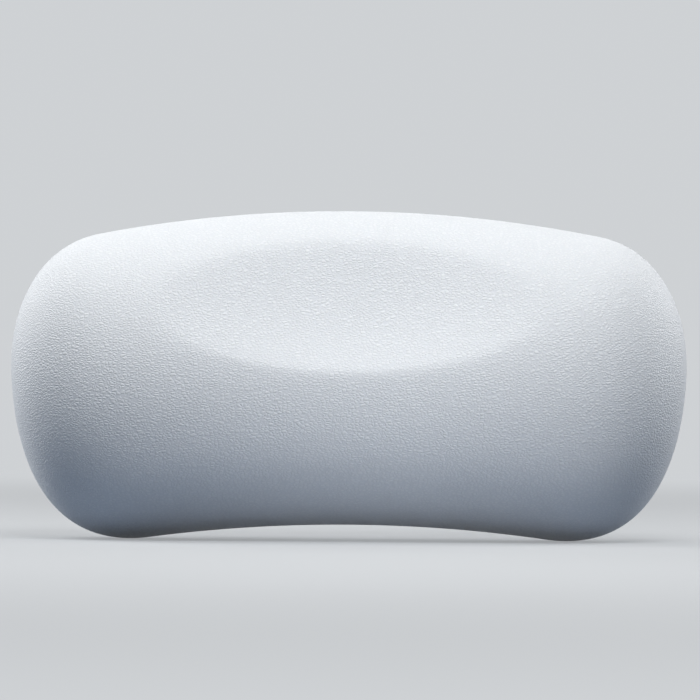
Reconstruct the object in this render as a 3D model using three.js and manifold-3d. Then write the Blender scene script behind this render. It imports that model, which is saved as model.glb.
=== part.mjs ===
// Moulded bath pillow with a head dish, held to a bath wall by four screw-in suction cups.
// Millimetres, +Z up. The plane y = 0 is the bath wall, where the lips of the cups rest, and the
// pillow's front faces -Y. Left and right are as seen from the front.

import * as THREE from 'three';
import { mergeVertices } from 'three/addons/utils/BufferGeometryUtils.js';
import Module from 'manifold-3d';

const wasm = await Module();
wasm.setup();

// Gap between pieces that touch
const clearance = 0.3;

// Pillow outline, seen from the front: two arched edges joined by full, rounded ends
const pillowWidth = 300;
const topEdge = 73;
const bottomEdge = 66.3;
const topArchRadius = 580;
const bottomArchRadius = 645;
const tipRise = 5.2;
const shoulderRun = 39;
const shoulderHandle = 28.6;
const upperTipHandle = 22.9;
const footRun = 62.3;
const footHandle = 59.5;
const lowerTipHandle = 16;

// Pillow depth on each side of the mould's parting plane
const frontDepth = 60;
const bulgeDrop = 12;
const endFullness = 0.6;
const backDepth = 16;
const backRound = 16;
const skinThickness = 3;

// Head dish in the front
const dishLength = 168;
const dishHeight = 58;
const dishDepth = 7.5;
const dishRise = 31;
const dishLip = 5;

// Places of the suction cups, inwards from the pillow's edges
const cupSideInset = 70;
const cupTopInset = 43;
const cupBottomInset = 36.3;

// Suction cup
const cupDiameter = 40;
const cupHollow = 5.1;
const cupWeb = 1.7;
const lipWidth = 1.5;
const lipThickness = 0.8;
const hubWall = 2.7;
const hubCap = 1.6;
const tabLength = 6;
const tabWidth = 10;
const tabThickness = 1.2;
const tabLift = 0.5;

// Stud, nut and washer
const studDiameter = 6;
const studChamfer = 0.6;
const studSpare = 5;
const studHeadDiameter = 12;
const studHeadThickness = 2;
const nutWall = 1.7;
const nutThickness = 5;
const washerDiameter = 18;
const washerThickness = 1.5;
const seatDepth = 1.2;
const seatPlay = 0.7;

// Insert board
const boardThickness = 3;
const boardWall = 3;
const bossWall = 2.4;
const flowHoleDiameter = 24;
const flowHolePitch = 40;
const boreSpare = 1;

// Mesh steps
const archSteps = 4;
const shoulderSteps = 8;
const footSteps = 11;
const backSteps = 4;
const crownSteps = 6;
const dishShares = [0.36, 0.68, 0.9, 1];
const roundSteps = 24;
const domeSteps = 4;
const bisectSteps = 40;
const slopeStep = 0.01;

// Places across the pillow's depth, from the wall inwards
const domeTop = cupHollow + cupWeb;
const headPocketTop = domeTop + studHeadThickness + 2 * clearance;
const cupHeight = headPocketTop + hubCap;
const washerY = -(cupHeight + clearance);
const seatY = washerY - washerThickness - clearance;
const backFaceY = seatY + seatDepth;
const partingY = backFaceY - backDepth;
const foamBackY = backFaceY - skinThickness - clearance;
const boardInnerY = foamBackY - boardThickness;
const nutY = boardInnerY - clearance;
const bossEndY = nutY - nutThickness;
const studEndY = bossEndY - studSpare;

// Places and radii that follow from the sizes above
const halfWidth = pillowWidth / 2;
const shoulderX = halfWidth - shoulderRun;
const footX = halfWidth - footRun;
const dishCentre = new THREE.Vector2(0, dishRise);
const cupX = halfWidth - cupSideInset;
const upperCupZ = topEdge - cupTopInset;
const lowerCupZ = cupBottomInset - bottomEdge;
const cupRadius = cupDiameter / 2;
const lipInnerRadius = cupRadius - lipWidth;
const studRadius = studDiameter / 2;
const studHoleRadius = studRadius + clearance;
const headPocketRadius = studHeadDiameter / 2 + clearance;
const hubRadius = headPocketRadius + hubWall;
const nutFlatRadius = studHoleRadius + nutWall;
const nutCornerRadius = nutFlatRadius / Math.cos(Math.PI / 6);
const nutPocketRadius = (nutFlatRadius + clearance) / Math.cos(Math.PI / 6);
const bossRadius = nutPocketRadius + bossWall;
const boardInset = backRound + boardWall;

const cupPlaces = [
  { name: 'upper_left', x: -cupX, z: upperCupZ },
  { name: 'upper_right', x: cupX, z: upperCupZ },
  { name: 'lower_left', x: -cupX, z: lowerCupZ },
  { name: 'lower_right', x: cupX, z: lowerCupZ },
];

const flowHolePlaces = [-flowHolePitch, 0, flowHolePitch].map(
  (x) => new THREE.Vector2(x, (upperCupZ + lowerCupZ) / 2),
);

const finishes = {
  skin: { color: 0xeef2f7, roughness: 0.55, metalness: 0 },
  foam: { color: 0xf2ead6, roughness: 0.95, metalness: 0 },
  board: { color: 0xd9dad5, roughness: 0.6, metalness: 0 },
  washer: { color: 0xf1f1ee, roughness: 0.5, metalness: 0 },
  cup: { color: 0xdfe7ea, roughness: 0.25, metalness: 0 },
  steel: { color: 0xb9bcc0, roughness: 0.35, metalness: 1 },
};

// Solids

function toSolid(geometry) {
  const bare = geometry.clone();
  bare.deleteAttribute('normal');
  bare.deleteAttribute('uv');
  const merged = mergeVertices(bare);
  return new wasm.Manifold(
    new wasm.Mesh({
      numProp: 3,
      vertProperties: merged.attributes.position.array,
      triVerts: new Uint32Array(merged.index.array),
    }),
  );
}

function toGeometry(solid) {
  const { numProp, vertProperties, triVerts } = solid.getMesh();
  const geometry = new THREE.BufferGeometry();
  geometry.setAttribute('position', new THREE.BufferAttribute(vertProperties, numProp));
  geometry.setIndex(new THREE.BufferAttribute(triVerts, 1));
  geometry.computeVertexNormals();
  return geometry;
}

function cut(geometry, tools) {
  const solid = tools.reduce((left, tool) => left.subtract(toSolid(tool)), toSolid(geometry));
  return toGeometry(solid);
}

function join(geometries) {
  return toGeometry(geometries.map(toSolid).reduce((whole, piece) => whole.add(piece)));
}

// A flat shape in x and z, made solid from y towards the front
function plate(shape, y, thickness) {
  const geometry = new THREE.ExtrudeGeometry(shape, {
    depth: thickness,
    bevelEnabled: false,
    curveSegments: roundSteps / 2,
  });
  return geometry.rotateX(Math.PI / 2).translate(0, y, 0);
}

// A round bar along Y, from the back end to the front end
function bar(radius, backY, frontY, x, z) {
  const geometry = new THREE.CylinderGeometry(radius, radius, backY - frontY, roundSteps);
  return geometry.translate(x, (backY + frontY) / 2, z);
}

// A turned piece about the Y axis, from a profile of radius and distance from the wall
function turned(profile) {
  const points = profile.map(([radius, distance]) => new THREE.Vector2(radius, -distance));
  return new THREE.LatheGeometry(points.reverse(), roundSteps);
}

function circle(centre, radius) {
  return new THREE.Path().absarc(centre.x, centre.y, radius, 0, 2 * Math.PI);
}

function hexagon(cornerRadius) {
  const corners = Array.from({ length: 6 }, (_, i) => {
    const angle = (i * Math.PI) / 3;
    return new THREE.Vector2(Math.cos(angle), Math.sin(angle)).multiplyScalar(cornerRadius);
  });
  return new THREE.Shape(corners);
}

// A closed surface from one pole, through rings of equal length, to the other pole
function loft(firstPole, rings, lastPole) {
  const steps = rings[0].length;
  const points = [firstPole, ...rings.flat(), lastPole];
  const last = points.length - 1;
  const faces = [];
  for (let i = 0; i < steps; i += 1) {
    const next = (i + 1) % steps;
    faces.push(0, 1 + i, 1 + next);
    for (let k = 0; k < rings.length - 1; k += 1) {
      const here = 1 + k * steps;
      const beyond = here + steps;
      faces.push(here + i, beyond + i, beyond + next);
      faces.push(here + i, beyond + next, here + next);
    }
    faces.push(last - steps + i, last, last - steps + next);
  }
  const geometry = new THREE.BufferGeometry().setFromPoints(points);
  geometry.setIndex(faces);
  geometry.computeVertexNormals();
  return geometry;
}

// Outline

function archHeight(edge, radius, x) {
  return edge - radius + Math.sqrt(radius ** 2 - x ** 2);
}

function archEnd(edge, radius, x, handle) {
  const slope = Math.asin(x / radius);
  const end = new THREE.Vector2(x, archHeight(edge, radius, x));
  const beyond = new THREE.Vector2(Math.cos(slope), -Math.sin(slope)).multiplyScalar(handle);
  return { end, handle: beyond.add(end), slope };
}

const shoulder = archEnd(topEdge, topArchRadius, shoulderX, shoulderHandle);
const foot = archEnd(-bottomEdge, bottomArchRadius, footX, footHandle);
const tip = new THREE.Vector2(halfWidth, tipRise);
const aboveTip = new THREE.Vector2(halfWidth, tipRise + upperTipHandle);
const belowTip = new THREE.Vector2(halfWidth, tipRise - lowerTipHandle);
const upperPoints = [shoulder.end, shoulder.handle, aboveTip, tip];
const lowerPoints = [foot.end, foot.handle, belowTip, tip];

function arch(edge, radius, from, to) {
  const up = Math.PI / 2;
  return new THREE.EllipseCurve(0, edge - radius, radius, radius, up + from, up + to, to < from);
}

function endCurve(points, side) {
  const placed = points.map(({ x, y }) => new THREE.Vector2(side * x, y));
  return new THREE.CubicBezierCurve(...placed);
}

const upperEnd = endCurve(upperPoints, 1);
const lowerEnd = endCurve(lowerPoints, 1);

// The whole outline, from the middle of the top edge round by the left end
const outline = [
  { curve: arch(topEdge, topArchRadius, 0, shoulder.slope), steps: archSteps },
  { curve: endCurve(upperPoints, -1), steps: shoulderSteps },
  { curve: endCurve(lowerPoints.toReversed(), -1), steps: footSteps },
  { curve: arch(-bottomEdge, bottomArchRadius, foot.slope, -foot.slope), steps: 2 * archSteps },
  { curve: lowerEnd, steps: footSteps },
  { curve: endCurve(upperPoints.toReversed(), 1), steps: shoulderSteps },
  { curve: arch(topEdge, topArchRadius, -shoulder.slope, 0), steps: archSteps },
];

// Points on the outline with their outward directions, closer together round the ends
const rim = outline.flatMap(({ curve, steps }) =>
  Array.from({ length: steps }, (_, k) => {
    const tangent = curve.getTangentAt(k / steps);
    return { point: curve.getPointAt(k / steps), out: new THREE.Vector2(tangent.y, -tangent.x) };
  }),
);

function insetOutline(distance) {
  return rim.map(({ point, out }) => point.clone().addScaledVector(out, -distance));
}

function atDepth(point, y) {
  return new THREE.Vector3(point.x, y, point.y);
}

// Height on a curve that leads out to the tip, at a distance from the middle
function heightOn(curve, x) {
  let near = 0;
  let far = 1;
  for (let i = 0; i < bisectSteps; i += 1) {
    const middle = (near + far) / 2;
    if (curve.getPoint(middle).x < x) near = middle;
    else far = middle;
  }
  return curve.getPoint(near).y;
}

function topAt(reach) {
  return reach < shoulderX ? archHeight(topEdge, topArchRadius, reach) : heightOn(upperEnd, reach);
}

function bottomAt(reach) {
  return reach < footX ? archHeight(-bottomEdge, bottomArchRadius, reach) : heightOn(lowerEnd, reach);
}

// Front

// How far the front stands out from the parting plane. Its fullest line lies below the middle of
// the pillow and rises to the tips.
function frontHeight(x, z) {
  const reach = Math.min(Math.abs(x), halfWidth);
  const top = topAt(reach);
  const bottom = bottomAt(reach);
  const along = (reach / halfWidth) ** 2;
  const across = (2 * z - top - bottom) / (top - bottom);
  const drop = ((2 * bulgeDrop) / (topEdge + bottomEdge)) * (1 - along);
  const turn = across + drop * (1 - across ** 2);
  const length = Math.sqrt(Math.max(0, 1 - along)) * (1 + endFullness * along);
  const section = Math.sqrt(Math.max(0, 1 - turn ** 2));
  const inDish = 1 - ((2 * x) / dishLength) ** 2 - ((2 * (z - dishRise)) / dishHeight) ** 2;
  const softLip = dishLip / dishHeight;
  const dish = (inDish + Math.hypot(inDish, 2 * softLip)) / 2;
  return frontDepth * length * section - dishDepth * dish;
}

// A point of the front, moved inwards by a wall thickness
function frontPoint(place, inset) {
  const { x, y: z } = place;
  const slopeX = (frontHeight(x + slopeStep, z) - frontHeight(x - slopeStep, z)) / (2 * slopeStep);
  const slopeZ = (frontHeight(x, z + slopeStep) - frontHeight(x, z - slopeStep)) / (2 * slopeStep);
  const inwards = new THREE.Vector3(slopeX, 1, slopeZ).normalize();
  return new THREE.Vector3(x, partingY - frontHeight(x, z), z).addScaledVector(inwards, inset);
}

// The dish's edge, in step with the outline
const dishEdge = rim.map(({ point }) => {
  const angle = Math.atan2((point.y - dishRise) / dishHeight, point.x / dishLength);
  const x = (dishLength / 2) * Math.cos(angle);
  const z = (dishHeight / 2) * Math.sin(angle);
  return new THREE.Vector2(x, z).add(dishCentre);
});

function frontRings(inset, rimY) {
  const dishRings = dishShares.map((share) =>
    dishEdge.map((edge) => frontPoint(dishCentre.clone().lerp(edge, share), inset)),
  );
  const crownRings = Array.from({ length: crownSteps - 1 }, (_, k) => {
    const share = Math.sin(((k + 1) / crownSteps) * (Math.PI / 2));
    return rim.map(({ point }, i) => frontPoint(dishEdge[i].clone().lerp(point, share), inset));
  });
  const rimRing = insetOutline(inset).map((point) => atDepth(point, rimY));
  return [...dishRings, ...crownRings, rimRing];
}

// The front as a solid block that ends flat at its rim
function frontForm(inset, rimY) {
  return loft(frontPoint(dishCentre, inset), frontRings(inset, rimY), new THREE.Vector3(0, rimY, 0));
}

function frontSkin() {
  return cut(frontForm(0, partingY - clearance / 2), [frontForm(skinThickness, partingY)]);
}

// Back

function backRings(inset, rimY) {
  return Array.from({ length: backSteps + 1 }, (_, k) => {
    const angle = (k / backSteps) * (Math.PI / 2);
    const inwards = inset + (backRound - inset) * (1 - Math.cos(angle));
    const y = k === 0 ? rimY : partingY + (backDepth - inset) * Math.sin(angle);
    return insetOutline(inwards).map((point) => atDepth(point, y));
  });
}

// The back as a solid block that ends flat at its rim
function backForm(inset, rimY) {
  const backPole = new THREE.Vector3(0, backFaceY - inset, 0);
  return loft(new THREE.Vector3(0, rimY, 0), backRings(inset, rimY), backPole);
}

function backSkin() {
  const seatRadius = washerDiameter / 2 + seatPlay;
  const seats = cupPlaces.map(({ x, z }) => bar(seatRadius, backFaceY + clearance, seatY, x, z));
  const holes = cupPlaces.map(({ x, z }) => bar(studHoleRadius, backFaceY, foamBackY, x, z));
  const block = backForm(0, partingY + clearance / 2);
  return cut(block, [backForm(skinThickness, partingY), ...seats, ...holes]);
}

// Inside

function boardShape(inset, holeRadius) {
  const shape = new THREE.Shape(insetOutline(inset));
  shape.holes = flowHolePlaces.map((place) => circle(place, holeRadius));
  return shape;
}

function insertBoard() {
  const shape = boardShape(boardInset, flowHoleDiameter / 2);
  const board = plate(shape, foamBackY, boardThickness);
  const rootY = (foamBackY + boardInnerY) / 2;
  const bosses = cupPlaces.map(({ x, z }) => bar(bossRadius, rootY, bossEndY, x, z));
  const pockets = cupPlaces.map(({ x, z }) =>
    plate(hexagon(nutPocketRadius), boardInnerY, nutThickness + 2 * clearance).translate(x, 0, z),
  );
  const holes = cupPlaces.map(({ x, z }) => bar(studHoleRadius, foamBackY + clearance, nutY, x, z));
  return cut(join([board, ...bosses]), [...pockets, ...holes]);
}

function foamCore() {
  const inset = skinThickness + clearance;
  const rings = [...frontRings(inset, partingY), ...backRings(inset, partingY).slice(1)];
  const block = loft(frontPoint(dishCentre, inset), rings, new THREE.Vector3(0, foamBackY, 0));
  const shape = boardShape(boardInset - clearance, flowHoleDiameter / 2 - clearance);
  const boardRoom = plate(shape, foamBackY + clearance, boardThickness + 2 * clearance);
  const floorY = bossEndY - clearance;
  const bossRoom = cupPlaces.map(({ x, z }) => bar(bossRadius + clearance, boardInnerY, floorY, x, z));
  const boreEndY = studEndY - boreSpare;
  const bores = cupPlaces.map(({ x, z }) => bar(studHoleRadius, bossEndY, boreEndY, x, z));
  return cut(block, [boardRoom, ...bossRoom, ...bores]);
}

// Fixings

function nut() {
  const shape = hexagon(nutCornerRadius);
  shape.holes = [circle(new THREE.Vector2(), studHoleRadius)];
  return plate(shape, nutY, nutThickness);
}

function washer() {
  const outer = washerDiameter / 2;
  const near = -washerY;
  const far = near + washerThickness;
  return turned([
    [studHoleRadius, near],
    [outer, near],
    [outer, far],
    [studHoleRadius, far],
    [studHoleRadius, near],
  ]);
}

function stud() {
  const headNear = domeTop + clearance;
  const headFar = headNear + studHeadThickness;
  const end = -studEndY;
  return turned([
    [0, headNear],
    [studHeadDiameter / 2, headNear],
    [studHeadDiameter / 2, headFar],
    [studRadius, headFar],
    [studRadius, end - studChamfer],
    [studRadius - studChamfer, end],
    [0, end],
  ]);
}

// The release tab on a cup's lip, pointing along +X
function cupTab() {
  const round = tabWidth / 2;
  const roundX = cupRadius + tabLength - round;
  const shape = new THREE.Shape();
  shape.moveTo(lipInnerRadius, round);
  shape.lineTo(lipInnerRadius, -round);
  shape.lineTo(roundX, -round);
  shape.absarc(roundX, 0, round, -Math.PI / 2, Math.PI / 2);
  shape.closePath();
  return plate(shape, -tabLift, tabThickness);
}

function suctionCup() {
  const hollow = Array.from({ length: domeSteps }, (_, k) => {
    const radius = (k / domeSteps) * lipInnerRadius;
    return [radius, cupHollow * (1 - (radius / lipInnerRadius) ** 2)];
  });
  const dome = Array.from({ length: domeSteps + 1 }, (_, k) => {
    const radius = cupRadius - (k / domeSteps) * (cupRadius - hubRadius);
    return [radius, lipThickness + (domeTop - lipThickness) * (1 - (radius / cupRadius) ** 2)];
  });
  const body = turned([
    ...hollow,
    [lipInnerRadius, 0],
    [cupRadius, 0],
    ...dome,
    [hubRadius, cupHeight],
    [studHoleRadius, cupHeight],
    [studHoleRadius, headPocketTop],
    [headPocketRadius, headPocketTop],
    [headPocketRadius, domeTop],
    [0, domeTop],
  ]);
  return join([body, cupTab()]);
}

// Assembly

const pillow = new THREE.Group();

function addPiece(name, geometry, finish, parent = pillow) {
  const piece = new THREE.Mesh(geometry, new THREE.MeshStandardMaterial(finish));
  piece.name = name;
  parent.add(piece);
}

addPiece('front_skin', frontSkin(), finishes.skin);
addPiece('back_skin', backSkin(), finishes.skin);
addPiece('foam_core', foamCore(), finishes.foam);
addPiece('insert_board', insertBoard(), finishes.board);

for (const { name, x, z } of cupPlaces) {
  const fixing = new THREE.Group();
  fixing.position.set(x, 0, z);
  addPiece(`nut_${name}`, nut(), finishes.steel, fixing);
  addPiece(`washer_${name}`, washer(), finishes.washer, fixing);
  addPiece(`stud_${name}`, stud(), finishes.steel, fixing);

  const cup = new THREE.Group();
  cup.rotation.y = x < 0 ? Math.PI : 0;
  addPiece(`suction_cup_${name}`, suctionCup(), finishes.cup, cup);
  fixing.add(cup);
  pillow.add(fixing);
}

export default pillow;
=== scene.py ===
import math

import bpy
import numpy as np
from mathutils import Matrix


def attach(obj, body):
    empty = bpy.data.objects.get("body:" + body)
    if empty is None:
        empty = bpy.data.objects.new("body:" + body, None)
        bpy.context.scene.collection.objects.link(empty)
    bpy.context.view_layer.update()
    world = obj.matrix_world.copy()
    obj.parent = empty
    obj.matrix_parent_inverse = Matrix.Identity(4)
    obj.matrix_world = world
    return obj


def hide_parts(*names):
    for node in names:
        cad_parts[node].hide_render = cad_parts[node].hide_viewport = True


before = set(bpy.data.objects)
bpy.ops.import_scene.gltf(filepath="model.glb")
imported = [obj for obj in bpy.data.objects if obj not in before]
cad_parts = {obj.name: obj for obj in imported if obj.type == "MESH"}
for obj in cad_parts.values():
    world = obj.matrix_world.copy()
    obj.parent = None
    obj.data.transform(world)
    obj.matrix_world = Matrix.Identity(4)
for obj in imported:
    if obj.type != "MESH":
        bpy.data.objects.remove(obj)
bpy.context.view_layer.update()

# The object's sizes are in millimetres, as on a drawing, and become metres when a mesh is made.
# The finishes, the floor and the lamps are in metres. Angles are in degrees.
# The wall is the plane y = 0, the pillow's front faces -Y, and +Z is up.
MM = 0.001

# Pillow outline, seen from the front: two arched edges joined by rounded ends
HALF_WIDTH = 150.0
TOP_EDGE = 73.0
BOTTOM_EDGE = 66.3
TOP_ARCH_RADIUS = 580.0
BOTTOM_ARCH_RADIUS = 645.0
TIP_RISE = 5.2
SHOULDER_X = 111.0
SHOULDER_HANDLE = 28.6
UPPER_TIP_HANDLE = 22.9
FOOT_X = 87.7
FOOT_HANDLE = 59.5
LOWER_TIP_HANDLE = 16.0

# Pillow depth, and the two skins that meet at the mould's parting plane
PARTING_Y = -27.9
PARTING_GAP = 0.3
FRONT_DEPTH = 60.0
BULGE_DROP = 12.0
END_FULLNESS = 0.6
BACK_DEPTH = 16.0
BACK_ROUND = 16.0
BACK_FACE_Y = -11.9
SKIN = 3.0
FRONT_RIM_EASE = 0.5
BACK_RIM_EASE = 0.4
SHARP_EDGE = 60

# Head dish
DISH_LENGTH = 168.0
DISH_HEIGHT = 58.0
DISH_DEPTH = 7.5
DISH_RISE = 31.0
DISH_LIP = 5.0

# Room in the foam and the back skin for the board and the fixings
FIT = 0.3
FOAM_BACK_Y = -15.2
BOARD_THICKNESS = 3.0
BOARD_INSET = 19.0
BOSS_RADIUS = 8.52
BOSS_END_Y = -23.5
BORE_END_Y = -29.5
FLOW_HOLE_RADIUS = 12.0
FLOW_HOLE_PITCH = 40.0
SEAT_Y = -13.1
SEAT_RADIUS = 9.7
OVERSHOOT = 1.0

# Places of the four fixings, as x and z
CUP_PLACES = {
    "upper_left": (-80.0, 30.0),
    "upper_right": (80.0, 30.0),
    "lower_left": (-80.0, -30.0),
    "lower_right": (80.0, -30.0),
}

# Suction cup, by radius and distance from the wall
CUP_RADIUS = 20.0
HOLLOW_RADIUS = 18.5
HOLLOW_DEPTH = 5.1
LIP_THICKNESS = 0.8
LIP_PROFILE = [(18.6, 0.05), (18.8, 0.0), (19.7, 0.0), (19.93, 0.1), (20.0, 0.3)]
DOME_TOP = 6.8
DOME_END_RADIUS = 10.2
HUB_RADIUS = 9.0
HUB_TOP = 11.0
HUB_EDGE_ROUND = 0.9
CREASE_ROUND = 1.1
POCKET_RADIUS = 6.3
POCKET_TOP = 9.4

# Release tab: the part of the lip it grows from, then each step's length, lift and narrowing
TAB_ROOT_RADIUS = 19.95
TAB_HALF_ANGLE = 13
TAB_STEPS = [(1.2, 0.3, 1.0), (2.4, 0.2, 1.0), (1.2, 0.0, 0.9), (0.8, 0.0, 0.75), (0.4, 0.0, 0.55)]
TAB_STRAIGHTEN = 0.6

# Washer, stud and nut, by radius and distance from the wall
HOLE_RADIUS = 3.3
SMALL_ROUND = 0.4
WASHER_RADIUS = 9.0
WASHER_NEAR = 11.3
WASHER_FAR = 12.8
HEAD_RADIUS = 6.0
HEAD_NEAR = 7.1
HEAD_FAR = 9.1
COLLAR_RADIUS = 3.0
COLLAR_END = 10.8
COLLAR_TIP_RADIUS = 2.2
COLLAR_TIP = 11.4
THREAD_START = 10.4
THREAD_END = 28.5
THREAD_ROOT = 2.42
THREAD_CREST = 2.97
THREAD_PITCH = 1.0
THREAD_FLANK = 0.40
THREAD_CREST_WIDTH = 0.12
THREAD_ROOT_WIDTH = 0.08
THREAD_TAPER = 0.6
TAPER_NARROWING = 0.8
NUT_CORNER_RADIUS = 5.774
NUT_NEAR = 18.5
NUT_FAR = 23.5
NUT_FACE_RADIUS = 4.8
NUT_LENS_RADIUS = 6.2
NUT_CHAMFER = 0.8
COUNTERSINK = 0.4

# Mesh steps
OUTLINE_STEPS = 320
OUTLINE_SAMPLES = 2001
DISH_STEPS = 22
CROWN_STEPS = 44
BACK_STEPS = 16
WALL_STEPS = 10
ROUND_STEPS = 72
ROD_STEPS = 48
THREAD_STEPS = 36
HOLLOW_STEPS = 14
DOME_STEPS = 12
CORNER_STEPS = 4
EASE_STEPS = 3
BISECT_STEPS = 40
SLOPE_STEP = 0.01
WELD_DISTANCE = 0.001
CUT_TOLERANCE = 0.0001


# Bench tools

def put_down():
    """Leaves edit mode with nothing selected."""
    if bpy.context.object and bpy.context.object.mode != "OBJECT":
        bpy.ops.object.mode_set(mode="OBJECT")
    bpy.ops.object.select_all(action="DESELECT")


def pick_up(piece):
    """Makes one piece the only one selected, and the active one."""
    put_down()
    piece.select_set(True)
    bpy.context.view_layer.objects.active = piece


def open_up(piece):
    """Enters edit mode on a piece, with all of its mesh selected."""
    pick_up(piece)
    bpy.ops.object.mode_set(mode="EDIT")
    bpy.ops.mesh.select_all(action="SELECT")


def turn_about_y(piece, angle):
    open_up(piece)
    bpy.ops.transform.rotate(value=angle, orient_axis="Y", center_override=(0, 0, 0))
    bpy.ops.object.mode_set(mode="OBJECT")


def apply_modifier(piece, kind, **values):
    pick_up(piece)
    modifier = piece.modifiers.new(kind.title(), kind)
    for key, value in values.items():
        setattr(modifier, key, value)
    bpy.ops.object.modifier_apply(modifier=modifier.name)


def combine(piece, tool, operation):
    """Joins, cuts or trims a piece with a second one, which is used up."""
    apply_modifier(piece, "BOOLEAN", operation=operation, solver="EXACT", object=tool)
    bpy.data.objects.remove(tool, do_unlink=True)


def cut_away(piece, tool):
    combine(piece, tool, "DIFFERENCE")


def ease_edges(piece, width):
    """Rounds the sharp edges of a skin."""
    apply_modifier(
        piece, "BEVEL", width=width * MM, segments=EASE_STEPS, limit_method="ANGLE",
        angle_limit=math.radians(SHARP_EDGE),
    )


def smooth(piece, angle):
    pick_up(piece)
    bpy.ops.object.shade_smooth_by_angle(angle=math.radians(angle))


def face_outwards(piece):
    open_up(piece)
    bpy.ops.mesh.remove_doubles(threshold=WELD_DISTANCE * MM)
    bpy.ops.mesh.normals_make_consistent(inside=False)
    bpy.ops.object.mode_set(mode="OBJECT")


def rod(radius, back_y, front_y, x, z, sides=ROD_STEPS):
    """A bar along Y, to cut with or to shape."""
    put_down()
    bpy.ops.mesh.primitive_cylinder_add(
        vertices=sides, radius=radius * MM, depth=(back_y - front_y) * MM,
        location=(x * MM, (back_y + front_y) / 2 * MM, z * MM), rotation=(math.pi / 2, 0, 0),
    )
    bpy.ops.object.transform_apply()
    return bpy.context.object


def start_profile(name, radius, distance):
    """A piece that is a single point beside the Y axis, to draw a profile from."""
    put_down()
    bpy.ops.mesh.primitive_plane_add(size=MM)
    piece = bpy.context.object
    piece.name = name
    bpy.ops.object.mode_set(mode="EDIT")
    bpy.ops.mesh.select_mode(type="VERT")
    bpy.ops.mesh.select_all(action="SELECT")
    bpy.ops.mesh.merge(type="CENTER")
    bpy.ops.transform.translate(value=(radius * MM, -distance * MM, 0))
    return piece


def draw_on(out, along):
    """Draws a profile on by a step away from the Y axis and a step away from the wall."""
    bpy.ops.mesh.extrude_region_move(TRANSFORM_OT_translate={"value": (out * MM, -along * MM, 0)})


def turn_on_lathe(name, profile, steps=ROUND_STEPS):
    """Draws a profile of (radius, distance from the wall) points and spins it about the Y axis."""
    piece = start_profile(name, *profile[0])
    for (r0, d0), (r1, d1) in zip(profile, profile[1:]):
        draw_on(r1 - r0, d1 - d0)
    bpy.ops.mesh.select_all(action="SELECT")
    bpy.ops.mesh.spin(steps=steps, angle=2 * math.pi, center=(0, 0, 0), axis=(0, 1, 0))
    face_outwards(piece)
    return piece


def rounded_corner(before, corner, after, radius):
    """Points that round one corner of a profile."""
    corner = np.array(corner, float)
    towards = [np.array(p, float) - corner for p in (before, after)]
    start, end = (corner + radius * v / np.linalg.norm(v) for v in towards)
    shares = np.linspace(0, 1, CORNER_STEPS + 1)[:, None]
    points = (1 - shares) ** 2 * start + 2 * shares * (1 - shares) * corner + shares ** 2 * end
    return [tuple(p) for p in points]


def copy_to(model, name, place):
    """A copy of a piece with its own mesh, at one of the four places and turned to its side."""
    piece = model.copy()
    piece.data = model.data.copy()
    piece.name = name
    bpy.context.collection.objects.link(piece)
    x, z = place
    if x < 0:
        turn_about_y(piece, math.pi)
    pick_up(piece)
    piece.location = (x * MM, 0, z * MM)
    bpy.ops.object.transform_apply()
    return piece


# Form of the pillow

def arch_height(edge, radius, x):
    return edge - radius + np.sqrt(radius ** 2 - x ** 2)


def bezier(points, share):
    a, b, c, d = (np.array(p, float) for p in points)
    t = np.asarray(share)[..., None]
    return (1 - t) ** 3 * a + 3 * (1 - t) ** 2 * t * b + 3 * (1 - t) * t ** 2 * c + t ** 3 * d


def end_points(edge, radius, x, handle, tip_handle):
    """Control points of the curve from an arch's end out to the tip."""
    slope = math.asin(x / radius)
    end = np.array((x, arch_height(edge, radius, x)))
    beyond = end + handle * np.array((math.cos(slope), -math.sin(slope)))
    return [end, beyond, (HALF_WIDTH, TIP_RISE + tip_handle), (HALF_WIDTH, TIP_RISE)]


UPPER_END = end_points(TOP_EDGE, TOP_ARCH_RADIUS, SHOULDER_X, SHOULDER_HANDLE, UPPER_TIP_HANDLE)
LOWER_END = end_points(-BOTTOM_EDGE, BOTTOM_ARCH_RADIUS, FOOT_X, FOOT_HANDLE, -LOWER_TIP_HANDLE)


def outline():
    """Points evenly round the outline, with their outward directions."""
    fine = np.linspace(0, 1, OUTLINE_SAMPLES)
    top_x = fine * SHOULDER_X
    foot_x = (1 - fine) * FOOT_X
    right = np.concatenate([
        np.stack([top_x, arch_height(TOP_EDGE, TOP_ARCH_RADIUS, top_x)], 1)[:-1],
        bezier(UPPER_END, fine)[:-1],
        bezier(LOWER_END, 1 - fine)[:-1],
        np.stack([foot_x, arch_height(-BOTTOM_EDGE, BOTTOM_ARCH_RADIUS, foot_x)], 1),
    ])
    whole = np.concatenate([right, right[-2::-1] * (-1, 1)])
    run = np.concatenate([[0], np.cumsum(np.linalg.norm(np.diff(whole, axis=0), axis=1))])
    places = np.arange(OUTLINE_STEPS) / OUTLINE_STEPS * run[-1]
    points = np.stack([np.interp(places, run, whole[:, i]) for i in (0, 1)], 1)
    along = np.roll(points, -1, 0) - np.roll(points, 1, 0)
    out = np.stack([-along[:, 1], along[:, 0]], 1)
    return points, out / np.linalg.norm(out, axis=1, keepdims=True)


RIM, RIM_OUT = outline()


def inset_outline(distance):
    return RIM - distance * RIM_OUT


def height_on(points, x):
    """Height at a distance from the middle on a curve that leads out to the tip."""
    near, far = np.zeros_like(x), np.ones_like(x)
    for _ in range(BISECT_STEPS):
        middle = (near + far) / 2
        short = bezier(points, middle)[..., 0] < x
        near, far = np.where(short, middle, near), np.where(short, far, middle)
    return bezier(points, near)[..., 1]


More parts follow.
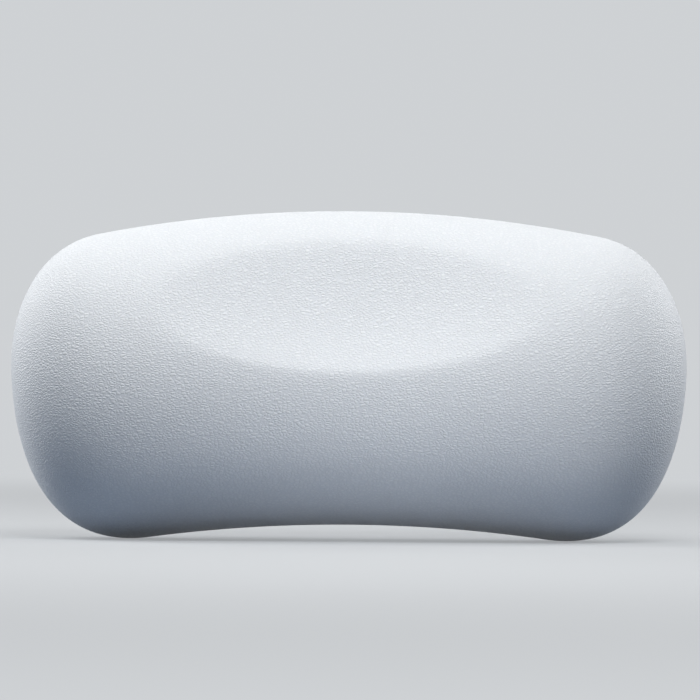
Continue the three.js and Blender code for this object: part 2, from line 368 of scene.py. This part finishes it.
def edges_at(x):
    """Heights of the top and bottom edges at a distance from the middle."""
    reach = np.minimum(np.abs(x), HALF_WIDTH)
    top = np.where(
        reach < SHOULDER_X,
        arch_height(TOP_EDGE, TOP_ARCH_RADIUS, np.minimum(reach, SHOULDER_X)),
        height_on(UPPER_END, np.maximum(reach, SHOULDER_X)),
    )
    bottom = np.where(
        reach < FOOT_X,
        arch_height(-BOTTOM_EDGE, BOTTOM_ARCH_RADIUS, np.minimum(reach, FOOT_X)),
        height_on(LOWER_END, np.maximum(reach, FOOT_X)),
    )
    return top, bottom


def front_height(x, z):
    """How far the front stands out from the parting plane.

    Its fullest line lies below the middle of the pillow and rises to the tips.
    """
    top, bottom = edges_at(x)
    along = (np.minimum(np.abs(x), HALF_WIDTH) / HALF_WIDTH) ** 2
    across = (2 * z - top - bottom) / (top - bottom)
    drop = 2 * BULGE_DROP / (TOP_EDGE + BOTTOM_EDGE) * (1 - along)
    turn = across + drop * (1 - across ** 2)
    length = np.sqrt(np.maximum(0, 1 - along)) * (1 + END_FULLNESS * along)
    section = np.sqrt(np.maximum(0, 1 - turn ** 2))
    in_dish = 1 - (2 * x / DISH_LENGTH) ** 2 - (2 * (z - DISH_RISE) / DISH_HEIGHT) ** 2
    dish = (in_dish + np.hypot(in_dish, 2 * DISH_LIP / DISH_HEIGHT)) / 2
    return FRONT_DEPTH * length * section - DISH_DEPTH * dish


def front_points(places, inset):
    """Points of the front, moved inwards by a wall thickness."""
    x, z = places[..., 0], places[..., 1]
    step = SLOPE_STEP
    slope_x = (front_height(x + step, z) - front_height(x - step, z)) / (2 * step)
    slope_z = (front_height(x, z + step) - front_height(x, z - step)) / (2 * step)
    inwards = np.stack([slope_x, np.ones_like(x), slope_z], -1)
    inwards /= np.linalg.norm(inwards, axis=-1, keepdims=True)
    return np.stack([x, PARTING_Y - front_height(x, z), z], -1) + inset * inwards


def at_depth(places, y):
    return np.stack([places[:, 0], np.full(len(places), y), places[:, 1]], -1)


def front_rings(inset, rim_y, dish_steps, crown_steps):
    """Rings from a point in the middle of the dish out to the parting plane."""
    centre = np.array((0, DISH_RISE))
    angle = np.arctan2((RIM[:, 1] - DISH_RISE) / DISH_HEIGHT, RIM[:, 0] / DISH_LENGTH)
    lip = centre + np.stack([DISH_LENGTH / 2 * np.cos(angle), DISH_HEIGHT / 2 * np.sin(angle)], 1)
    rings = []
    for k in range(dish_steps + 1):
        share = math.sin(k / dish_steps * math.pi / 2)
        rings.append(front_points(centre + share * (lip - centre), inset))
    for k in range(1, crown_steps):
        share = (1 - math.cos(k / crown_steps * math.pi)) / 2
        rings.append(front_points(lip + share * (RIM - lip), inset))
    rings.append(at_depth(inset_outline(inset), rim_y))
    return rings


def back_rings(inset, rim_y, steps):
    """Rings from the parting plane round the back edge to the flat back."""
    rings = []
    for k in range(steps + 1):
        angle = k / steps * math.pi / 2
        inwards = inset + (BACK_ROUND - inset) * (1 - math.cos(angle))
        y = rim_y if k == 0 else PARTING_Y + (BACK_DEPTH - inset) * math.sin(angle)
        rings.append(at_depth(inset_outline(inwards), y))
    return rings


def skin_over(name, rings):
    """A closed piece from a row of rings, which ends in flat caps or in points."""
    count = len(rings[0])
    points = np.concatenate(rings) * MM
    faces = [tuple(range(count))]
    for k in range(len(rings) - 1):
        here = k * count
        for i in range(count):
            j = (i + 1) % count
            faces.append((here + i, here + count + i, here + count + j, here + j))
    faces.append(tuple(range((len(rings) - 1) * count, len(rings) * count)))
    mesh = bpy.data.meshes.new(name)
    mesh.from_pydata(points.tolist(), [], faces)
    piece = bpy.data.objects.new(name, mesh)
    bpy.context.collection.objects.link(piece)
    face_outwards(piece)
    return piece


def make_front_shell():
    rim_y = PARTING_Y - PARTING_GAP / 2
    outer = front_rings(0, rim_y, DISH_STEPS, CROWN_STEPS)
    inner = front_rings(SKIN, rim_y, WALL_STEPS, 2 * WALL_STEPS)
    shell = skin_over("front_shell", [*outer, *inner[::-1]])
    ease_edges(shell, FRONT_RIM_EASE)
    smooth(shell, angle=40)
    return shell


def make_back_shell():
    """Back skin with a washer seat and a stud hole at each cup."""
    rim_y = PARTING_Y + PARTING_GAP / 2
    outer = back_rings(0, rim_y, BACK_STEPS)
    inner = back_rings(SKIN, rim_y, BACK_STEPS // 2)
    shell = skin_over("back_shell", [*outer[::-1], *inner])
    above = BACK_FACE_Y + OVERSHOOT
    for x, z in CUP_PLACES.values():
        cut_away(shell, rod(SEAT_RADIUS, above, SEAT_Y, x, z, ROUND_STEPS))
        cut_away(shell, rod(HOLE_RADIUS, above, FOAM_BACK_Y - OVERSHOOT, x, z))
    ease_edges(shell, BACK_RIM_EASE)
    smooth(shell, angle=40)
    return shell


def make_foam_filling():
    """Foam that fills the skins, with room for the board, its bosses and the stud ends."""
    inset = SKIN + FIT
    front = front_rings(inset, PARTING_Y, DISH_STEPS // 2, CROWN_STEPS // 2)
    back = back_rings(inset, PARTING_Y, BACK_STEPS // 2)
    foam = skin_over("foam_filling", [*front, *back[1:]])
    edge = inset_outline(BOARD_INSET - FIT)
    above = FOAM_BACK_Y + OVERSHOOT
    floor_y = FOAM_BACK_Y - BOARD_THICKNESS - FIT
    room = skin_over("board_room", [at_depth(edge, above), at_depth(edge, floor_y)])
    for x in (-FLOW_HOLE_PITCH, 0, FLOW_HOLE_PITCH):
        plug = rod(FLOW_HOLE_RADIUS - FIT, above + OVERSHOOT, floor_y - OVERSHOOT, x, 0)
        cut_away(room, plug)
    cut_away(foam, room)
    for x, z in CUP_PLACES.values():
        cut_away(foam, rod(BOSS_RADIUS + FIT, floor_y + OVERSHOOT, BOSS_END_Y - FIT, x, z))
        cut_away(foam, rod(HOLE_RADIUS, BOSS_END_Y, BORE_END_Y, x, z))
    smooth(foam, angle=35)
    return foam


# Fixings

def dome_point(radius):
    rise = (DOME_TOP - LIP_THICKNESS) * (1 - (radius / CUP_RADIUS) ** 2)
    return radius, LIP_THICKNESS + rise


def hollow_point(radius):
    return radius, HOLLOW_DEPTH * (1 - (radius / HOLLOW_RADIUS) ** 2)


def make_cup():
    """Clear suction cup: hollow, lip, dome and hub, with a pocket for the stud's head and a tab."""
    hollow = [hollow_point(r) for r in np.linspace(0, HOLLOW_RADIUS, HOLLOW_STEPS + 1)[:-1]]
    crease = dome_point(HUB_RADIUS)
    hub_edge, hole_edge = (HUB_RADIUS, HUB_TOP), (HOLE_RADIUS, HUB_TOP)
    hole_end = (HOLE_RADIUS, POCKET_TOP)
    dome = [dome_point(r) for r in np.linspace(CUP_RADIUS, DOME_END_RADIUS, DOME_STEPS + 1)]
    cup = turn_on_lathe("cup", [
        *hollow, *LIP_PROFILE, *dome,
        *rounded_corner(dome[-1], crease, hub_edge, CREASE_ROUND)[1:],
        *rounded_corner(crease, hub_edge, hole_edge, HUB_EDGE_ROUND),
        *rounded_corner(hub_edge, hole_edge, hole_end, SMALL_ROUND),
        hole_end, (POCKET_RADIUS, POCKET_TOP), (POCKET_RADIUS, DOME_TOP), (0, DOME_TOP),
    ])
    grow_tab(cup)
    smooth(cup, angle=35)
    return cup


def grow_tab(cup):
    """Draws the release tab out of the faces of the lip's edge that look along +X."""
    bpy.ops.object.mode_set(mode="EDIT")
    bpy.ops.mesh.select_mode(type="FACE")
    bpy.ops.mesh.select_all(action="DESELECT")
    bpy.ops.object.mode_set(mode="OBJECT")
    for face in cup.data.polygons:
        x, y, z = face.center / MM
        on_edge = math.hypot(x, z) > TAB_ROOT_RADIUS and -y < LIP_THICKNESS
        face.select = on_edge and abs(math.atan2(z, x)) < math.radians(TAB_HALF_ANGLE)
    bpy.ops.object.mode_set(mode="EDIT")
    for length, lift, narrowing in TAB_STEPS:
        draw_on(length, lift)
        bpy.ops.transform.resize(value=(TAB_STRAIGHTEN, 1, narrowing))
    face_outwards(cup)


def make_washer():
    corners = [
        (HOLE_RADIUS, WASHER_NEAR), (WASHER_RADIUS, WASHER_NEAR),
        (WASHER_RADIUS, WASHER_FAR), (HOLE_RADIUS, WASHER_FAR),
    ]
    profile = []
    for i, corner in enumerate(corners):
        after = corners[(i + 1) % len(corners)]
        profile += rounded_corner(corners[i - 1], corner, after, SMALL_ROUND)
    washer = turn_on_lathe("washer", [*profile, profile[0]])
    smooth(washer, angle=40)
    return washer


def make_stud():
    """Stud with a disc head, a short collar and a thread of 1 mm pitch."""
    start, end = (0, HEAD_NEAR), (0, HEAD_FAR)
    near, far = (HEAD_RADIUS, HEAD_NEAR), (HEAD_RADIUS, HEAD_FAR)
    stud = turn_on_lathe("stud", [
        start,
        *rounded_corner(start, near, far, SMALL_ROUND),
        *rounded_corner(near, far, end, SMALL_ROUND),
        (COLLAR_RADIUS, HEAD_FAR), (COLLAR_RADIUS, COLLAR_END),
        (COLLAR_TIP_RADIUS, COLLAR_TIP), (0, COLLAR_TIP),
    ], ROD_STEPS)
    combine(stud, cut_thread(), "UNION")
    face_outwards(stud)
    smooth(stud, angle=30)
    return stud


def cut_thread():
    """A threaded rod along Y, from inside the stud's collar to a tapered tip."""
    spare_turns = 2
    thread = start_profile("thread", THREAD_ROOT, THREAD_START - spare_turns * THREAD_PITCH)
    rise = THREAD_CREST - THREAD_ROOT
    draw_on(rise, THREAD_FLANK)
    draw_on(0, THREAD_CREST_WIDTH)
    draw_on(-rise, THREAD_FLANK)
    draw_on(0, THREAD_ROOT_WIDTH)
    bpy.ops.object.mode_set(mode="OBJECT")
    turns = int((THREAD_END - THREAD_START) / THREAD_PITCH) + 2 * spare_turns
    apply_modifier(
        thread, "SCREW", axis="Y", angle=2 * math.pi, screw_offset=-THREAD_PITCH * MM,
        iterations=turns, steps=THREAD_STEPS, render_steps=THREAD_STEPS,
        use_merge_vertices=True, merge_threshold=WELD_DISTANCE * MM,
    )
    bpy.ops.object.mode_set(mode="EDIT")
    for place, side in ((THREAD_START, 1), (THREAD_END - THREAD_TAPER, -1)):
        bpy.ops.mesh.select_all(action="SELECT")
        bpy.ops.mesh.bisect(
            plane_co=(0, -place * MM, 0), plane_no=(0, side, 0), use_fill=True, clear_outer=True,
            threshold=CUT_TOLERANCE * MM,
        )
    draw_on(0, THREAD_TAPER)
    bpy.ops.transform.resize(value=(TAPER_NARROWING, 1, TAPER_NARROWING))
    face_outwards(thread)
    return thread


def make_nut():
    """Hex nut with turned-down corners and a countersunk bore."""
    nut = rod(NUT_CORNER_RADIUS, -NUT_NEAR, -NUT_FAR, 0, 0, sides=6)
    nut.name = "nut"
    turn_about_y(nut, math.pi / 6)
    lens = turn_on_lathe("nut_lens", [
        (0, NUT_NEAR), (NUT_FACE_RADIUS, NUT_NEAR),
        (NUT_LENS_RADIUS, NUT_NEAR + NUT_CHAMFER), (NUT_LENS_RADIUS, NUT_FAR - NUT_CHAMFER),
        (NUT_FACE_RADIUS, NUT_FAR), (0, NUT_FAR),
    ])
    combine(nut, lens, "INTERSECT")
    mouth = HOLE_RADIUS + COUNTERSINK + OVERSHOOT
    cut_away(nut, turn_on_lathe("nut_bore", [
        (0, NUT_NEAR - OVERSHOOT), (mouth, NUT_NEAR - OVERSHOOT),
        (HOLE_RADIUS, NUT_NEAR + COUNTERSINK), (HOLE_RADIUS, NUT_FAR - COUNTERSINK),
        (mouth, NUT_FAR + OVERSHOOT), (0, NUT_FAR + OVERSHOOT),
    ]))
    face_outwards(nut)
    smooth(nut, angle=25)
    return nut


# Finishes: the two colours that each one varies between. On the skin and the foam the darker colour
# is painted shade, in the grain's creases and in the pores.

SKIN_WITH_CREASE_SHADE = (0.81, 0.84, 0.875), (0.875, 0.9, 0.925)
FOAM_WITH_PORE_SHADE = (0.72, 0.64, 0.46), (0.9, 0.84, 0.68)
BOARD_TONES = (0.66, 0.67, 0.63), (0.74, 0.75, 0.72)
NYLON_TONES = (0.82, 0.82, 0.79), (0.89, 0.89, 0.87)
VINYL_TONES = (0.80, 0.87, 0.89), (0.88, 0.93, 0.94)
ZINC_TONES = (0.5, 0.51, 0.53), (0.68, 0.69, 0.71)


def set_inputs(owner, node, inputs):
    """Sets a node's inputs to plain values, or wires them to the outputs of other nodes."""
    for key, value in inputs.items():
        if isinstance(value, bpy.types.NodeSocket):
            owner.node_tree.links.new(value, node.inputs[key])
        else:
            node.inputs[key].default_value = value


def add_node(owner, kind, inputs, **settings):
    node = owner.node_tree.nodes.new(kind)
    for key, value in settings.items():
        setattr(node, key, value)
    set_inputs(owner, node, inputs)
    return node


def new_finish(name):
    finish = bpy.data.materials.new(name)
    finish.use_nodes = True
    return finish, finish.node_tree.nodes["Principled BSDF"]


def place_of(finish, stretch=(1, 1, 1)):
    """The place on a piece, squeezed or stretched along each axis."""
    coords = add_node(finish, "ShaderNodeTexCoord", {})
    inputs = {"Vector": coords.outputs["Object"], "Scale": stretch}
    return add_node(finish, "ShaderNodeMapping", inputs).outputs["Vector"]


def noise(finish, place, scale, detail=2.0, roughness=0.5, output=0):
    """Soft noise, as a single value or as its Color output."""
    inputs = {"Vector": place, "Scale": scale, "Detail": detail, "Roughness": roughness}
    return add_node(finish, "ShaderNodeTexNoise", inputs).outputs[output]


def cells(finish, place, scale, feature):
    inputs = {"Vector": place, "Scale": scale}
    return add_node(finish, "ShaderNodeTexVoronoi", inputs, feature=feature).outputs["Distance"]


def spread(finish, value, low, high):
    """Maps a 0 to 1 value to a range."""
    inputs = {"Value": value, "To Min": low, "To Max": high}
    return add_node(finish, "ShaderNodeMapRange", inputs).outputs["Result"]


def ease_in(finish, value, start, end, low, high):
    """Goes gently from low to high while a value goes from start to end."""
    inputs = {"Value": value, "From Min": start, "From Max": end, "To Min": low, "To Max": high}
    node = add_node(finish, "ShaderNodeMapRange", inputs, interpolation_type="SMOOTHSTEP")
    return node.outputs["Result"]


def two_tone(owner, value, low, high):
    """Mixes two colours by a 0 to 1 value."""
    inputs = {"Factor": value, "A": (*low, 1), "B": (*high, 1)}
    return add_node(owner, "ShaderNodeMix", inputs, data_type="RGBA").outputs["Result"]


def weigh(finish, first, second, share):
    """first + share x second."""
    inputs = {0: second, 1: share, 2: first}
    return add_node(finish, "ShaderNodeMath", inputs, operation="MULTIPLY_ADD").outputs[0]


def relief(finish, height, strength, depth):
    """A bump of a real depth."""
    inputs = {"Height": height, "Strength": strength, "Distance": depth}
    return add_node(finish, "ShaderNodeBump", inputs).outputs["Normal"]


def grained_skin():
    """White skin with a leather grain: pebbles about 1.9 by 1.2 mm, with finer creases between. The
    creases are painted darker, as painted shade.
    """
    finish, shader = new_finish("grained_white_skin")
    place = place_of(finish, stretch=(0.73, 1, 1.16))
    drift = noise(finish, place, scale=300, output="Color")
    pull = (0.0011, 0.0011, 0.0011)
    inputs = {0: drift, 1: pull, 2: place}
    drawn = add_node(finish, "ShaderNodeVectorMath", inputs, operation="MULTIPLY_ADD").outputs[0]
    gap = cells(finish, drawn, scale=740, feature="DISTANCE_TO_EDGE")
    pebble = ease_in(finish, gap, start=0, end=0.32, low=0, high=1)
    fine = cells(finish, drawn, scale=1650, feature="F1")
    wrinkle = noise(finish, drawn, scale=1900, detail=3, roughness=0.6)
    height = weigh(finish, weigh(finish, pebble, fine, share=0.35), wrinkle, share=0.5)
    patch = noise(finish, place, scale=45, detail=3)
    set_inputs(finish, shader, {
        # Base colour: darker in the grain's creases, as painted shade where the relief dips
        "Base Color": two_tone(finish, pebble, *SKIN_WITH_CREASE_SHADE),
        "Roughness": spread(finish, patch, low=0.47, high=0.6),
        "Specular IOR Level": 0.4,
        "Normal": relief(finish, height, strength=0.8, depth=0.0002),
    })
    return finish


def open_foam():
    finish, shader = new_finish("cream_open_foam")
    pores = cells(finish, place_of(finish), scale=1400, feature="F1")
    set_inputs(finish, shader, {
        # Base colour: darker at the middle of each pore, as painted shade in the dimples
        "Base Color": two_tone(finish, pores, *FOAM_WITH_PORE_SHADE),
        "Roughness": 0.95,
        "Normal": relief(finish, pores, strength=0.8, depth=0.0005),
    })
    return finish


def moulded_board():
    finish, shader = new_finish("natural_polypropylene")
    cloud = noise(finish, place_of(finish), scale=700, detail=4)
    set_inputs(finish, shader, {
        "Base Color": two_tone(finish, cloud, *BOARD_TONES),
        "Roughness": spread(finish, cloud, low=0.5, high=0.68),
        "Normal": relief(finish, cloud, strength=0.3, depth=0.0001),
    })
    return finish


def white_nylon():
    finish, shader = new_finish("white_nylon")
    place = place_of(finish)
    flow = noise(finish, place, scale=220, detail=3)
    pits = noise(finish, place, scale=2400)
    set_inputs(finish, shader, {
        "Base Color": two_tone(finish, flow, *NYLON_TONES),
        "Roughness": spread(finish, flow, low=0.35, high=0.5),
        "Normal": relief(finish, pits, strength=0.15, depth=0.00005),
    })
    return finish


def clear_vinyl():
    finish, shader = new_finish("clear_soft_vinyl")
    haze = noise(finish, place_of(finish), scale=160, detail=3)
    set_inputs(finish, shader, {
        "Base Color": two_tone(finish, haze, *VINYL_TONES),
        "Roughness": spread(finish, haze, low=0.1, high=0.22),
        "IOR": 1.45,
        "Transmission Weight": 0.75,
        "Normal": relief(finish, haze, strength=0.1, depth=0.0002),
    })
    return finish


def zinc_steel():
    finish, shader = new_finish("zinc_plated_steel")
    place = place_of(finish, stretch=(1, 0.25, 1))
    grain = noise(finish, place, scale=900, detail=4, roughness=0.65)
    set_inputs(finish, shader, {
        "Base Color": two_tone(finish, grain, *ZINC_TONES),
        "Roughness": spread(finish, grain, low=0.24, high=0.42),
        "Metallic": 1.0,
        "Normal": relief(finish, grain, strength=0.15, depth=0.00005),
    })
    return finish


# Assembly

def dress(piece, finish, body, node):
    piece.data.materials.clear()
    piece.data.materials.append(finish)
    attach(piece, body)
    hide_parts(node)


skin_finish = grained_skin()
steel_finish = zinc_steel()
vinyl_finish = clear_vinyl()
nylon_finish = white_nylon()

front_shell = make_front_shell()
dress(front_shell, skin_finish, "pillow", "front_skin")

back_shell = make_back_shell()
dress(back_shell, skin_finish, "pillow", "back_skin")

foam_filling = make_foam_filling()
dress(foam_filling, open_foam(), "pillow", "foam_core")

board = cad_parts["insert_board"]
board.data.materials.clear()
board.data.materials.append(moulded_board())

models = {"nut": make_nut(), "washer": make_washer(), "cup": make_cup(), "stud": make_stud()}
for corner, cup_place in CUP_PLACES.items():
    hex_nut = copy_to(models["nut"], f"hex_nut_{corner}", cup_place)
    dress(hex_nut, steel_finish, "pillow", f"nut_{corner}")
    ring = copy_to(models["washer"], f"nylon_washer_{corner}", cup_place)
    dress(ring, nylon_finish, f"washer_{corner}", f"washer_{corner}")
    sucker = copy_to(models["cup"], f"vinyl_cup_{corner}", cup_place)
    dress(sucker, vinyl_finish, f"cup_{corner}", f"suction_cup_{corner}")
    screw = copy_to(models["stud"], f"threaded_stud_{corner}", cup_place)
    dress(screw, steel_finish, f"cup_{corner}", f"stud_{corner}")
for model in models.values():
    bpy.data.objects.remove(model, do_unlink=True)


# Studio

FLOOR_Z = -0.07295
FLOOR_SIZE = 12
FADE_START = 0.25
FADE_END = 1.2
LEAST_FADE = 0.5
PALE = (0.62, 0.64, 0.66)
FLOOR_BOUNCE = (0.165, 0.205, 0.27)
NO_LIGHT = (0, 0, 0)

# Camera: the photograph's frame and scale, and the camera's place in millimetres
PIXELS = 700
PHOTO_MM_PER_PIXEL = 300 / 675
CAMERA_DISTANCE = 2400.0
CAMERA_X = 0.44
CAMERA_Z = 11.33
CAMERA_ROLL = -0.4
SENSOR_WIDTH = 36


def seen_directly(owner):
    """1 for rays from the camera, mirrors and clear pieces, 0 for the light on the object."""
    paths = add_node(owner, "ShaderNodeLightPath", {}).outputs
    seen = paths["Is Camera Ray"]
    for kind in ("Is Glossy Ray", "Is Transmission Ray"):
        inputs = {0: seen, 1: paths[kind]}
        seen = add_node(owner, "ShaderNodeMath", inputs, operation="MAXIMUM").outputs[0]
    return seen


def floor_paint():
    """Pale paint that fades into the background and lights the object's underside only dimly."""
    finish, shader = new_finish("pale_floor")
    seen = seen_directly(finish)
    set_inputs(finish, shader, {
        "Base Color": two_tone(finish, seen, FLOOR_BOUNCE, PALE),
        "Roughness": 0.9,
        "Specular IOR Level": 0.1,
    })
    far_off = add_node(finish, "ShaderNodeVectorMath", {0: place_of(finish)}, operation="LENGTH")
    fade = ease_in(finish, far_off.outputs["Value"], FADE_START, FADE_END, LEAST_FADE, 1)
    share = add_node(finish, "ShaderNodeMath", {0: fade, 1: seen}, operation="MULTIPLY")
    sweep = add_node(finish, "ShaderNodeEmission", {"Color": (*PALE, 1)})
    blend = add_node(finish, "ShaderNodeMixShader", {
        "Fac": share.outputs[0], 1: shader.outputs["BSDF"], 2: sweep.outputs["Emission"],
    })
    surface = finish.node_tree.nodes["Material Output"]
    set_inputs(finish, surface, {"Surface": blend.outputs["Shader"]})
    return finish


def lay_floor():
    put_down()
    bpy.ops.mesh.primitive_plane_add(size=FLOOR_SIZE, location=(0, 0, FLOOR_Z))
    bpy.ops.object.transform_apply()
    floor = bpy.context.object
    floor.name = "studio_floor"
    floor.data.materials.append(floor_paint())


def set_world():
    """A pale background that is seen but casts no light on the object."""
    world = bpy.data.worlds.new("studio")
    bpy.context.scene.world = world
    world.use_nodes = True
    colour = two_tone(world, seen_directly(world), NO_LIGHT, PALE)
    set_inputs(world, world.node_tree.nodes["Background"], {"Color": colour})


def hang_lamp(name, place, aim, width, height, watts, beam=180):
    put_down()
    bpy.ops.object.light_add(type="AREA", location=place)
    lamp = bpy.context.object
    lamp.name = name
    lamp.data.shape = "RECTANGLE"
    lamp.data.size = width
    lamp.data.size_y = height
    lamp.data.energy = watts
    lamp.data.spread = math.radians(beam)
    lamp.visible_camera = False
    x, y, z = np.array(aim) - np.array(place)
    lamp.rotation_euler = (math.atan2(math.hypot(x, y), -z), 0, math.atan2(-x, y))


def hang_lamps():
    crown, middle, underside = (0, -0.05, 0), (0, -0.03, 0), (0.02, -0.05, -0.05)
    hang_lamp("overhead_softbox", (0, -0.35, 1.05), crown, width=1.2, height=0.9, watts=3.3)
    for name, side, watts in (("upper_left_softbox", -1, 3.5), ("upper_right_softbox", 1, 1.2)):
        shoulder = (side * 0.05, -0.03, 0)
        hang_lamp(name, (side * 0.65, -0.02, 0.75), shoulder, width=0.4, height=0.4, watts=watts)
    hang_lamp("front_softbox", (0.11, -0.55, 0.65), crown, width=0.5, height=0.35, watts=3.9)
    hang_lamp(
        "low_fill", (0.03, -0.6, -0.052), underside, width=0.16, height=0.03, watts=0.014, beam=22,
    )
    hang_lamp("left_rim", (-0.75, 0.43, 0.22), middle, width=0.3, height=0.4, watts=2.65)
    hang_lamp("right_rim", (0.75, 0.43, 0.22), middle, width=0.3, height=0.4, watts=2.4)


def set_camera():
    """Level camera at the photograph's height, with its scale taken at the parting plane."""
    camera = bpy.data.objects.new("camera", bpy.data.cameras.new("camera"))
    bpy.context.collection.objects.link(camera)
    camera.location = (CAMERA_X * MM, (PARTING_Y - CAMERA_DISTANCE) * MM, CAMERA_Z * MM)
    camera.rotation_euler = (math.pi / 2, math.radians(CAMERA_ROLL), 0)
    camera.data.sensor_width = SENSOR_WIDTH
    camera.data.lens = SENSOR_WIDTH * CAMERA_DISTANCE / (PIXELS * PHOTO_MM_PER_PIXEL)
    bpy.context.scene.camera = camera


lay_floor()
set_world()
hang_lamps()
set_camera()
bpy.context.scene.view_settings.view_transform = "Standard"
